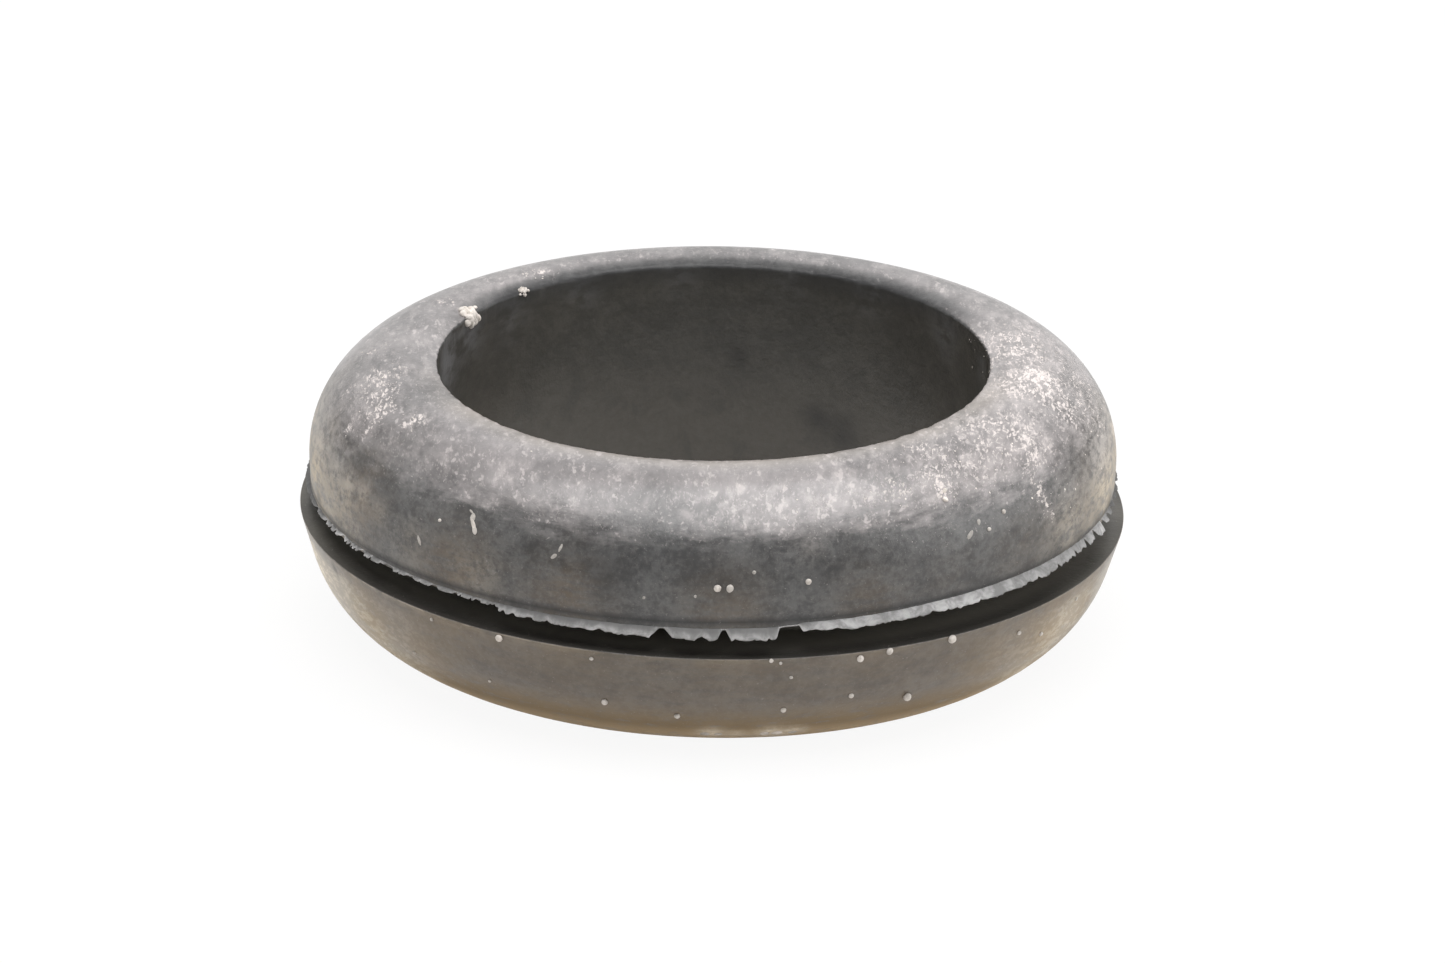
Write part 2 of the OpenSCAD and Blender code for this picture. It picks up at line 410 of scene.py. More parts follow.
patches["smudge"] = [
    (67, 12.7, 5.4, 0.7, 0.75), (61, 12.7, 4.9, 0.8, 0.9), (85, 12.7, 8.2, 0.5, 0.65),
]
patches["bare"] = [
    (-150, 17.4, 11.5, 2.0, 0.6), (-168, 17.5, 11.4, 1.6, 0.55), (-137, 17.8, 11.0, 1.5, 0.2),
    (-118, 15.8, 12.6, 1.4, 0.3), (-163, 14.4, 12.9, 1.6, 0.5), (-160, 16.0, 12.5, 1.6, 0.35),
    (-178, 14.8, 12.9, 2.4, 0.45), (178, 17.2, 11.7, 1.4, 0.4), (-158, 13.6, 12.9, 1.8, 0.45),
    (-137, 14.4, 12.9, 2.2, 0.25), (-60, 16.2, 12.4, 1.4, 0.25), (-104, 16.0, 12.6, 2.0, 0.25),
    (-16, 17.0, 11.9, 1.4, 0.4), (-12, 16.6, 12.2, 1.5, 0.35), (-98, 17.0, 11.9, 1.7, 0.5),
    (-4, 16.4, 12.3, 0.9, 0.6), (-98, 17.9, 10.9, 1.1, 0.5), (-107, 18.0, 10.8, 1.0, 0.25),
    (-89, 17.4, 11.5, 0.8, 0.3), (30, 15.2, 12.8, 2.4, 0.4), (58, 14.6, 12.8, 3.0, 0.4),
    (90, 14.4, 12.8, 3.4, 0.4), (122, 14.6, 12.8, 3.0, 0.4), (152, 14.4, 12.8, 2.6, 0.4),
    (-112, 14.5, 12.9, 1.5, 0.25), (-75, 14.5, 12.9, 1.0, 0.2), (8, 15.3, 12.7, 1.3, 0.2),
]


def place_at(azimuth, radius, height):
    """The point at this azimuth in degrees, radius and height in millimetres."""
    angle = math.radians(azimuth)
    return Vector((radius * math.cos(angle), radius * math.sin(angle), height)) * MM


def mark_patches(piece, name, spots):
    """Stores how strongly the spots cover each point of a piece, from 0 to 1."""
    points = np.zeros(len(piece.data.vertices) * 3, np.float32)
    piece.data.vertices.foreach_get("co", points)
    points = points.reshape(-1, 3)
    clean = np.ones(len(points))
    for azimuth, radius, height, spread, strength in spots:
        away = np.linalg.norm(points - np.array(place_at(azimuth, radius, height)), axis=1)
        clean *= 1 - strength * np.exp(-(away / (spread * MM)) ** 2)
    cover = piece.data.attributes.new(name, "FLOAT", "POINT")
    cover.data.foreach_set("value", (1 - clean).astype(np.float32))


for name, spots in patches.items():
    mark_patches(moulding, name, spots)


def colour_mix(tree, share, under, over):
    """One colour laid over another by a share."""
    return node(tree, "ShaderNodeMix", {0: share, 6: under, 7: over}, data_type="RGBA").outputs[2]


def shader_group(tree, group, values):
    """Places a shader node group in a material, with its inputs linked or given values."""
    placed = tree.nodes.new("ShaderNodeGroup")
    placed.node_tree = group
    for name, value in values.items():
        if isinstance(value, bpy.types.NodeSocket):
            tree.links.new(value, placed.inputs[name])
        else:
            placed.inputs[name].default_value = value
    return placed.outputs


# Flecks of dust: soft dots of mixed sizes with uneven outlines, closer together where
# there is more dust
fleck_group, given, end = new_tree(
    "dust_flecks", "ShaderNodeTree",
    {"Vector": "Vector", "Scale": "Float", "Cover": "Float"}, {"Mask": "Float"})
warp = node(fleck_group, "ShaderNodeTexNoise", {
    "Vector": given.outputs["Vector"], "Detail": 2.0,
    "Scale": times(fleck_group, given.outputs["Scale"], 1.3)}).outputs["Color"]
warp = scaled(fleck_group, vector_maths(fleck_group, "SUBTRACT", warp, (0.5, 0.5, 0.5)),
              maths(fleck_group, "DIVIDE", 1.6, given.outputs["Scale"]))
from_middle = node(fleck_group, "ShaderNodeTexVoronoi", {
    "Vector": vector_maths(fleck_group, "ADD", given.outputs["Vector"], warp),
    "Scale": given.outputs["Scale"],
    "Detail": 1.0, "Roughness": 0.5, "Lacunarity": 2.3}).outputs["Distance"]
cluster = noise_value(fleck_group, given.outputs["Vector"],
                      times(fleck_group, given.outputs["Scale"], 0.25), detail=3.0, roughness=0.6)
crowd = maths(fleck_group, "ADD", times(fleck_group, given.outputs["Cover"], 0.9), cluster)
dot_reach = ramp(fleck_group, crowd, 0.68, 1.5, 0.35, 1.0, smooth=False)
in_dot = ramp(fleck_group, maths(fleck_group, "SUBTRACT", dot_reach, from_middle), -0.06, 0.24)
any_dust = ramp(fleck_group, given.outputs["Cover"], 0.0, 0.08, smooth=False)
fleck_group.links.new(times(fleck_group, in_dot, any_dust), end.inputs["Mask"])

# Grain: the fine roughness of old rubber, with soft lumps under it
grain_group, given, end = new_tree(
    "rubber_grain", "ShaderNodeTree", {"Vector": "Vector", "Scale": "Float"}, {"Height": "Float"})
fine = noise_value(grain_group, given.outputs["Vector"], given.outputs["Scale"],
                   detail=3.0, roughness=0.6)
soft = noise_value(grain_group, given.outputs["Vector"],
                   times(grain_group, given.outputs["Scale"], 0.3), detail=2.0)
grain_group.links.new(summed(grain_group, (fine, 0.35), (soft, 0.65)), end.inputs["Height"])


def fleck_mask(tree, vector, scale, cover):
    """Where flecks of dust lie in a material."""
    return shader_group(tree, fleck_group, {"Vector": vector, "Scale": scale, "Cover": cover})["Mask"]


def add_grain(tree, shader, surface, scale, strength, raised=None):
    """Gives a material its grain in relief, with whatever is raised above it."""
    relief = shader_group(tree, grain_group, {"Vector": surface, "Scale": scale})["Height"]
    if raised is not None:
        relief = maths(tree, "ADD", relief, raised)
    bump = node(tree, "ShaderNodeBump", {
        "Height": relief, "Strength": strength, "Distance": 0.03 * MM}).outputs[0]
    tree.links.new(bump, shader.inputs["Normal"])


def blank_material(material):
    """A material's node tree with only its Principled shader, as (tree, shader)."""
    material.use_nodes = True
    return material.node_tree, material.node_tree.nodes["Principled BSDF"]


def stored(tree, name):
    """The value that a mesh stores under a name, in a material."""
    return node(tree, "ShaderNodeAttribute", attribute_name=name).outputs["Fac"]


tree, shader = blank_material(rubber)
sources = node(tree, "ShaderNodeTexCoord").outputs
surface = sources["Object"]
up = parts_of(tree, sources["Normal"])["Z"]
spot = parts_of(tree, surface)
flat = vector_maths(tree, "MULTIPLY", surface, (1, 1, 0))
radius = node(tree, "ShaderNodeVectorMath", {0: flat}, operation="LENGTH").outputs["Value"]
marked = {name: stored(tree, name) for name in (*marks, *patches)}

# Coordinates that run round the ring and down its section, for marks drawn out round it
ring_r = 17
down_squeeze = 3.0
around = scaled(tree, vector_maths(tree, "NORMALIZE", flat), ring_r * MM)
down = node(tree, "ShaderNodeCombineXYZ", {"Z": times(tree, marked["along"], down_squeeze)}).outputs[0]
drawn_out = vector_maths(tree, "ADD", around, down)

# Coordinates in which marks are drawn out along Y, the way the grommet was wiped
wipe_squeeze = (1, 0.4, 1)
wiped = vector_maths(tree, "MULTIPLY", surface, wipe_squeeze)

black = (0.047, 0.047, 0.048, 1)
worn_grey = (0.100, 0.100, 0.100, 1)
bore_black = (0.047, 0.044, 0.0385, 1)
worn_bore = (0.090, 0.083, 0.072, 1)
bore_brown = (0.067, 0.059, 0.048, 1)
bore_haze = (0.22, 0.22, 0.23, 1)
smudge_black = (0.014, 0.012, 0.010, 1)
# Painted shade for the groove's mouth and ledge, and painted light for its depths
groove_painted_shade = (0.030, 0.028, 0.025, 1)
groove_painted_light = (0.16, 0.15, 0.13, 1)
brown_soil = (0.175, 0.130, 0.084, 1)
dark_soil = (0.118, 0.086, 0.056, 1)
golden_soil = (0.212, 0.152, 0.083, 1)
floor_lit_soil = (0.56, 0.42, 0.26, 1)
beige_film = (0.60, 0.51, 0.385, 1)
grey_film = (0.60, 0.555, 0.51, 1)
pale_film = (0.84, 0.76, 0.64, 1)
lip_highlight_beige = (0.36, 0.31, 0.25, 1)
scuff_grey = (0.30, 0.285, 0.265, 1)
grey_bloom = (0.292, 0.273, 0.271, 1)
warm_bloom = (0.308, 0.273, 0.246, 1)
pale_bloom = (0.56, 0.51, 0.50, 1)
pale_dust = (0.76, 0.69, 0.66, 1)

# Places, in metres, between which a mark comes or goes: heights, then radii, then X or Y
brown_fade = (9.5 * MM, 4.5 * MM)
below_groove = (lower_h * MM, (lower_h - 0.08) * MM)
above_lip = (lower_h * MM, (lower_h + 0.2) * MM)
below_lip = (5.65 * MM, 4.6 * MM)
low_fade = (3.4 * MM, 1.4 * MM)
floor_light_fade = (1.7 * MM, 0.5 * MM)
off_bore = ((bore_r + 0.5) * MM, (bore_r + 2) * MM)
rubbed_edge = (13.9 * MM, 13.1 * MM)
warm_edge = (14.8 * MM, 13.2 * MM)
groove_mouth = (17.6 * MM, 18.7 * MM)
left_end = (-4 * MM, -12 * MM)
right_half = (-6 * MM, 6 * MM)
far_side = (3 * MM, 9 * MM)
near_side = (0.0, -6 * MM)

# Rubber, mottled where it is worn, and browner down the bore
mottle = noise_value(tree, surface, 620.0, detail=7.0, roughness=0.68, distortion=0.4)
streaks = noise_value(tree, drawn_out, 620.0, detail=5.0, roughness=0.65)
fine = noise_value(tree, wiped, 3400.0, detail=4.0, roughness=0.7)
wear = summed(tree, (mottle, 0.5), (streaks, 0.15), (fine, 0.35))
colour = colour_mix(tree, ramp(tree, wear, 0.40, 0.60), black, worn_grey)
browned = times(tree, ramp(tree, spot["Z"], *brown_fade), ramp(tree, mottle, 0.36, 0.5, 0.5, 1.0))
bore_colour = colour_mix(tree, browned, bore_black, bore_brown)
bore_colour = colour_mix(tree, ramp(tree, wear, 0.42, 0.62, 0.0, 0.45), bore_colour, worn_bore)
hazed = times(tree, marked["haze"], ramp(tree, streaks, 0.35, 0.6))
bore_colour = colour_mix(tree, hazed, bore_colour, bore_haze)
bore_colour = colour_mix(tree, marked["smudge"], bore_colour, smudge_black)
colour = colour_mix(tree, marked["bore"], colour, bore_colour)

# Soil on the sides: dark on the upper flange, brown on the lower, golden at its foot, and pale at the very
# bottom with painted light from the floor below
on_lower = times(tree, ramp(tree, spot["Z"], *below_groove), ramp(tree, radius, *off_bore))
grime = noise_value(tree, drawn_out, 800.0, detail=7.0, roughness=0.75, distortion=0.3)
even_soil = times(tree, on_lower, ramp(tree, grime, 0.34, 0.64, 0.3, 0.48))
patchy_soil = times(tree, marked["soil"], ramp(tree, grime, 0.34, 0.64, 0.25, 1.0))
soil_colour = colour_mix(tree, on_lower, dark_soil, brown_soil)
colour = colour_mix(tree, most(tree, even_soil, patchy_soil), colour, soil_colour)
low_down = most(tree, ramp(tree, spot["Z"], *low_fade, 0.0, 0.88), marked["soil"])
low_down = times(tree, on_lower, low_down, ramp(tree, grime, 0.25, 0.5))
# The soil turns pale at the very bottom: painted light from the floor below
low_colour = colour_mix(tree, ramp(tree, spot["Z"], *floor_light_fade), golden_soil, floor_lit_soil)
colour = colour_mix(tree, low_down, colour, low_colour)

# Film on the sides, thin towards the lower flange's lip, which has a painted highlight in pale beige
film_wear = summed(tree, (streaks, 0.4), (fine, 0.6))
film_left = most(tree, ramp(tree, film_wear, 0.38, 0.58, 0.15, 1.0), times(tree, on_lower, 0.62))
off_lip = most(tree, ramp(tree, spot["Z"], *below_lip, 0.2, 1.0), ramp(tree, spot["Z"], *above_lip))
filmed = times(tree, marked["film"], times(tree, film_left, off_lip))
film_colour = colour_mix(tree, ramp(tree, up, 0.05, 0.5), beige_film, grey_film)
film_colour = colour_mix(tree, on_lower, film_colour, pale_film)
colour = colour_mix(tree, filmed, colour, film_colour)
# A painted highlight along the lower flange's lip, stronger towards -X
lip_highlight = times(tree, marked["lip"], ramp(tree, grime, 0.42, 0.6, 0.1, 0.8),
                 ramp(tree, spot["X"], *left_end, 0.4, 1.0))
colour = colour_mix(tree, lip_highlight, colour, lip_highlight_beige)

# Scuffs on the upper flange, and painted shade in black: in the crease above the fin, in the patches of
# painted shade, and over the lower flange's rim corner
scuffing = noise_value(tree, surface, 3600.0, detail=5.0, roughness=0.75)
scuffs = times(tree, ramp(tree, scuffing, 0.48, 0.66), ramp(tree, marked["film"], 0.0, 0.5, 0.12, 0.45),
               remainder(tree, most(tree, on_lower, marked["bore"])))
colour = colour_mix(tree, scuffs, colour, scuff_grey)
packed = most(tree, times(tree, most(tree, marked["crease"], marked["rim"]), 0.75),
              times(tree, marked["packed"], ramp(tree, grime, 0.3, 0.6, 0.85, 1.0)))
colour = colour_mix(tree, packed, colour, black)

# Bloom on what faces up, in soft blotches, rubbed away at the far side of the bore's edge
rubbed = times(tree, ramp(tree, spot["Y"], *far_side), ramp(tree, radius, *rubbed_edge))
left_on = remainder(tree, times(tree, rubbed, 0.9))
# Painted shade, black, along the far side of the bore's edge, where it hides a highlight
far_edge_shade = times(tree, marked["bore_edge"], ramp(tree, spot["Y"], *far_side, 0.0, 0.8))
ragged_up = maths(tree, "ADD", up, ramp(tree, streaks, 0.3, 0.7, -0.09, 0.09))
facing_up = times(tree, ramp(tree, ragged_up, 0.46, 0.79), left_on,
                  remainder(tree, most(tree, marked["bare"], marked["rim"])))
drift = noise_value(tree, surface, 260.0, detail=3.0, roughness=0.6)
cloud = noise_value(tree, wiped, 1700.0, detail=5.0, roughness=0.65)
bloom = times(tree, facing_up, ramp(tree, drift, 0.34, 0.62, 0.55, 1.0),
              ramp(tree, cloud, 0.3, 0.66, 0.78, 1.0))
warm = times(tree, ramp(tree, radius, *warm_edge), ramp(tree, spot["Y"], *near_side))
colour = colour_mix(tree, bloom, colour, colour_mix(tree, warm, grey_bloom, warm_bloom))
gathered = noise_value(tree, wiped, 800.0, detail=2.0, roughness=0.5)
blotches = noise_value(tree, wiped, 2300.0, detail=3.0, roughness=0.65)
blotched = times(tree, ramp(tree, blotches, 0.40, 0.74), ramp(tree, gathered, 0.36, 0.62, 0.1, 0.45),
                 facing_up)
colour = colour_mix(tree, blotched, colour, pale_bloom)
spot_cover = times(tree, facing_up, ramp(tree, cloud, 0.36, 0.6, 0.2, 0.62))
spots_seen = fleck_mask(tree, wiped, 2300.0, spot_cover)
colour = colour_mix(tree, times(tree, spots_seen, 0.5), colour, pale_bloom)

# The groove: painted light, a pale grey, deep inside it, and painted shade, black, at its mouth and on the
# ledge, except under the film
groove_shade_share = times(tree, ramp(tree, radius, *groove_mouth),
                    remainder(tree, times(tree, marked["film"], 0.8)))
groove_colour = colour_mix(tree, groove_shade_share, groove_painted_light, groove_painted_shade)
colour = colour_mix(tree, marked["groove"], colour, groove_colour)
# The painted shade on the far side of the bore's edge
colour = colour_mix(tree, far_edge_shade, colour, black)

# Fine specks everywhere outside, and coarser flecks and clumps where dust lies
outside = remainder(tree, most(tree, marked["groove"], marked["bore"]))
outside = times(tree, outside, left_on, remainder(tree, marked["rim"]))
speck_cover = summed(tree, (outside, ramp(tree, up, 0.3, 0.8, 0.1, 0.5)), (marked["groove"], 0.15))
specks = fleck_mask(tree, wiped, 6000.0, speck_cover)
colour = colour_mix(tree, times(tree, specks, 0.17), colour, pale_dust)
cover = times(tree, ramp(tree, up, -0.2, 0.5), times(tree, marked["dust"], outside))
clump_cover = times(tree, cover, ramp(tree, spot["X"], *right_half, 0.5, 0.75))
clumps = fleck_mask(tree, surface, 2900.0, clump_cover)
flecks = most(tree, fleck_mask(tree, wiped, 5200.0, cover), times(tree, clumps, 0.85))
dust_haze = times(tree, cover, 0.25, ramp(tree, cloud, 0.35, 0.6))
colour = colour_mix(tree, dust_haze, colour, pale_bloom)
thick = ramp(tree, marked["dust"], 0.2, 0.9, 0.35, 0.8)
colour = colour_mix(tree, times(tree, flecks, thick), colour, pale_dust)
tree.links.new(colour, shader.inputs["Base Color"])

# Clean rubber has a sheen, and dirt is dull
dulled = most(tree, flecks, times(tree, filmed, 0.7), marked["rim"], low_down)
tree.links.new(ramp(tree, dulled, 0.0, 1.0, 0.30, 0.8, smooth=False), shader.inputs["Roughness"])
matt = most(tree, times(tree, low_down, 0.6), packed, far_edge_shade)
tree.links.new(ramp(tree, matt, 0.0, 0.8, 0.5, 0.1, smooth=False), shader.inputs["Specular IOR Level"])
add_grain(tree, shader, surface, 6500.0, 1.0, raised=times(tree, flecks, 0.4))

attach(moulding, "root")
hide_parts("grommet")

# ---------------------------------------------------------------------------
# The flash: a thin fin of rubber that squeezed out between the mould's plates
# along the upper flange's lower edge. It was trimmed roughly, so its edge is
# ragged, pieces are torn out of it, and the rubber is pale where it tore.
# ---------------------------------------------------------------------------

# Depth in millimetres to which the fin is rooted in the flange, and how finely it is made
flash_root = 0.3
flash_corners = 2400
lens_sides = 16

# The fin as it was trimmed: direction, reach, droop in degrees, how far above the
# flange's edge it starts, how pale the stretched rubber is, and how deeply it is
# nicked. Lengths in millimetres.
trimmed = [
    (-180, 0.22, 20, 0.05, 0.0, 0.1), (-174, 0.18, 24, 0.07, 0.0, 0.1), (-167, 0.14, 30, 0.12, 0.1, 0.2),
    (-161, 0.14, 35, 0.17, 0.6, 0.4), (-155, 0.17, 35, 0.19, 0.75, 0.5), (-149, 0.18, 35, 0.17, 0.75, 0.5),
    (-143, 0.14, 35, 0.15, 0.5, 0.6), (-135, 0.13, 35, 0.13, 0.5, 0.7), (-122, 0.14, 36, 0.09, 0.45, 0.7),
    (-119, 0.28, 45, 0.06, 0.55, 0.3), (-110, 0.29, 45, 0.04, 0.55, 0.1), (-94, 0.35, 48, 0.02, 0.55, 0.1),
    (-81, 0.36, 48, 0.02, 0.48, 0.1), (-77, 0.26, 40, 0.13, 0.6, 0.1), (-70, 0.34, 42, 0.15, 0.55, 0.1),
    (-62, 0.32, 44, 0.18, 0.52, 0.1), (-55, 0.35, 45, 0.21, 0.65, 0.1), (-47, 0.35, 46, 0.23, 0.5, 0.1),
    (-38, 0.32, 47, 0.21, 0.45, 0.15), (-30, 0.27, 48, 0.2, 0.35, 0.15), (-24, 0.26, 50, 0.22, 0.35, 0.2),
    (-19, 0.32, 48, 0.22, 0.9, 0.1), (-15, 0.24, 45, 0.22, 0.4, 0.2), (-11, 0.14, 40, 0.2, 0.0, 0.2),
    (-2, 0.12, 30, 0.2, 0.0, 0.3), (12, 0.12, 25, 0.2, 0.0, 0.3), (40, 0.28, 35, 0.12, 0.5, 0.2),
    (75, 0.32, 38, 0.1, 0.5, 0.2), (100, 0.24, 35, 0.1, 0.5, 0.2), (140, 0.28, 32, 0.1, 0.5, 0.2),
    (180, 0.22, 20, 0.05, 0.0, 0.1),
]
# Places where the fin is torn: direction, half width and depth as a share of the
# reach. A depth over 1 tears it to the root, with steep sides.
tears = [
    (-171, 1.0, 0.7), (-165.5, 1.2, 1.2), (-160.2, 0.5, 1.3), (-157.9, 0.4, 1.3), (-156.1, 0.4, 1.2),
    (-153.5, 1.2, 1.0), (-151.0, 0.4, 1.2), (-147.6, 0.9, 1.3), (-141, 1.4, 2.0), (-136, 0.6, 1.2),
    (-131.5, 1.0, 1.5), (-127.5, 0.5, 1.2), (-124, 0.5, 0.9), (-121, 0.8, 0.9),
    (-112.5, 0.7, 0.25), (-105, 0.9, 0.3), (-96.5, 1.6, 1.2), (-91, 1.0, 0.45), (-88, 1.0, 1.3),
    (-79, 1.8, 4), (-72.5, 0.8, 0.15), (-64, 0.9, 0.15), (-58, 1.0, 0.2), (-50, 0.7, 0.15),
    (-41, 0.5, 0.2), (-33.5, 0.4, 0.3), (-28.4, 0.35, 0.7), (-24.6, 0.6, 1.2), (-21.4, 0.7, 1.5),
    (-17.2, 0.9, 2.0), (-14.2, 0.8, 2.0), (-11.5, 1.0, 1.5), (-8.6, 1.0, 1.4), (-5.5, 0.8, 1.2),
    (-2, 1.2, 1.4), (4, 1.6, 1.3), (9, 1.6, 1.2), (24, 3.0, 1.2), (41, 1.4, 0.8),
    (63, 2.4, 1.0), (77, 1.4, 0.6), (101, 5.0, 0.8), (118, 1.4, 0.9), (131, 1.2, 0.7),
    (148, 3.0, 1.2), (166, 1.4, 0.8),
]


def share_kept(azimuth):
    """Share of the fin that the tears leave in this direction, in degrees."""
    kept = 1.0
    for direction, half_width, depth in tears:
        away = abs((azimuth - direction + 180) % 360 - 180)
        kept = min(kept, 1 - depth * max(0.0, 1 - away / half_width))
    return max(kept, 0.0)


# How finely and how deeply the torn edge is roughened and nicked
rough_pitch = 24
rough_depth = 0.15
nick_pitch = 90
nick_depth = 3.5
nick_shift = Vector((0, 0, 7))


def flash_length(azimuth, reach, nicked):
    """Length of the fin that is left in this direction, in the unit of its reach."""
    angle = math.radians(azimuth)
    round_trip = Vector((math.cos(angle), math.sin(angle), 0))
    rough = noise.fractal(round_trip * rough_pitch, 0.6, 2.2, 5)
    nick_noise = noise.noise(round_trip * nick_pitch + nick_shift)
    nicks = min(1.0, nick_depth * max(0.0, nick_noise - 0.02))
    return reach * share_kept(azimuth) * max(0.0, 1 + rough_depth * rough - nicked * nicks)


flash_tree, given, end = new_tree(
    "flash_sweep", "GeometryNodeTree",
    {"Root Line": "Geometry", "Root Depth": "Float", "Thickness": "Float", "Tip Share": "Float",
     "Ripple Depth": "Float", "Ripple Scale": "Float", "Material": "Material"},
    {"Geometry": "Geometry"})
line = node(flash_tree, "GeometryNodeMeshToCurve", {0: given.outputs["Root Line"]}).outputs[0]
upright = node(flash_tree, "GeometryNodeSetCurveNormal", {0: line}, mode="Z_UP").outputs[0]
lens = node(flash_tree, "GeometryNodeCurvePrimitiveCircle",
            {"Resolution": lens_sides, "Radius": 0.5}).outputs[0]
lens = node(flash_tree, "GeometryNodeTransform", {"Geometry": lens, "Translation": (0.5, 0, 0)}).outputs[0]
for name, axis in (("out", "X"), ("across", "Y")):
    lens_place = node(flash_tree, "GeometryNodeInputPosition").outputs[0]
    lens = node(flash_tree, "GeometryNodeStoreNamedAttribute", {
        "Geometry": lens, "Name": name, "Value": parts_of(flash_tree, lens_place)[axis]}).outputs[0]
lens = node(flash_tree, "GeometryNodeTransform", {"Geometry": lens, "Scale": (0, 0, 0)}).outputs[0]
swept = node(flash_tree, "GeometryNodeCurveToMesh", {"Curve": upright, "Profile Curve": lens}).outputs[0]
out, across, reach, droop = (
    mesh_mark(flash_tree, name) for name in ("out", "across", "reach", "droop"))
place = node(flash_tree, "GeometryNodeInputPosition").outputs[0]
away = vector_maths(flash_tree, "NORMALIZE", vector_maths(flash_tree, "MULTIPLY", place, (1, 1, 0)))
whole = maths(flash_tree, "ADD", reach, given.outputs["Root Depth"])
outward = maths(flash_tree, "SUBTRACT", times(flash_tree, out, whole), given.outputs["Root Depth"])
thickness = times(flash_tree, given.outputs["Thickness"],
                  ramp(flash_tree, out, 0.0, 1.0, 1.0, given.outputs["Tip Share"], smooth=False))
fall = times(flash_tree, most(flash_tree, outward, 0.0), maths(flash_tree, "TANGENT", droop))
ripple = noise_value(flash_tree, None, given.outputs["Ripple Scale"], detail=2.0)
ripple = times(flash_tree, maths(flash_tree, "SUBTRACT", ripple, 0.5), given.outputs["Ripple Depth"])
lift = maths(flash_tree, "SUBTRACT", times(flash_tree, across, thickness), fall)
lift = maths(flash_tree, "ADD", lift, times(flash_tree, ripple, out))
sideways = scaled(flash_tree, away, outward)
upward = node(flash_tree, "ShaderNodeCombineXYZ", {"Z": lift}).outputs[0]
shaped = node(flash_tree, "GeometryNodeSetPosition",
              {"Geometry": swept, "Offset": vector_maths(flash_tree, "ADD", sideways, upward)}).outputs[0]
smooth = node(flash_tree, "GeometryNodeSetShadeSmooth",
              {"Geometry": add_lean(flash_tree, shaped)}).outputs[0]
finish_tree(flash_tree, smooth, given.outputs["Material"], end)

torn_rubber = bpy.data.materials.new("torn_rubber")
tree, shader = blank_material(torn_rubber)
surface = node(tree, "ShaderNodeTexCoord").outputs["Object"]
stretched_grey = (0.100, 0.099, 0.097, 1)
torn_pale = (0.62, 0.61, 0.61, 1)
shaded_left = (3.5 * MM, 6 * MM)
patchy = noise_value(tree, surface, 1500.0, detail=4.0, roughness=0.65, distortion=0.5)
# Painted shadow: the fin stays dark near its root, under the flange's overhang, except towards +X
root_share = ramp(tree, parts_of(tree, surface)["X"], *shaded_left, 0.12, 0.9)
torn = times(tree, ramp(tree, patchy, 0.35, 0.65, 0.3, 1.0), stored(tree, "pale"),
             ramp(tree, stored(tree, "out"), 0.58, 1.0, root_share, 1.0))
tree.links.new(colour_mix(tree, torn, stretched_grey, torn_pale), shader.inputs["Base Color"])
shader.inputs["Roughness"].default_value = 0.55
add_grain(tree, shader, surface, 7000.0, 0.8)

root_line = bpy.data.meshes.new("flash_root_line")
directions = [360 * i / flash_corners - 180 for i in range(flash_corners)]
reach, droop, seat_height, paleness, nicked = (
    np.interp(directions, [t[0] for t in trimmed], [t[column] for t in trimmed]) for column in range(1, 6))
root_line.from_pydata(
    [place_at(a, under_r, groove_top + h) for a, h in zip(directions, seat_height)],
    [(i, (i + 1) % flash_corners) for i in range(flash_corners)], [])
lengths = [flash_length(*corner) * MM for corner in zip(directions, reach, nicked)]
for name, values in (("reach", lengths), ("droop", np.radians(droop)), ("pale", paleness)):
    root_line.attributes.new(name, "FLOAT", "POINT").data.foreach_set("value", values)
flash = finished_piece("torn_flash", root_line, flash_tree, {
    "Root Depth": flash_root * MM, "Thickness": 0.15 * MM, "Tip Share": 0.65,
    "Ripple Depth": 0.14 * MM, "Ripple Scale": 1100.0,
    "Material": torn_rubber})
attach(flash, "root")
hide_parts("grommet")

# ---------------------------------------------------------------------------
# Grit: pale mineral crumbs that stuck to the rubber while it lay about. Two
# crusts sit on the bore's edge, and single grains and chips cling elsewhere.
# ---------------------------------------------------------------------------

moulding_surface = BVHTree.FromPolygons(
    [v.co for v in moulding.data.vertices], [p.vertices for p in moulding.data.polygons])

# Grains stand a little larger than their listed size; chips are thin; lumps gather in crusts
grain_swell = 1.25
chip_depth = 0.07
lump_scatter = 0.18
sunk_share = 0.2

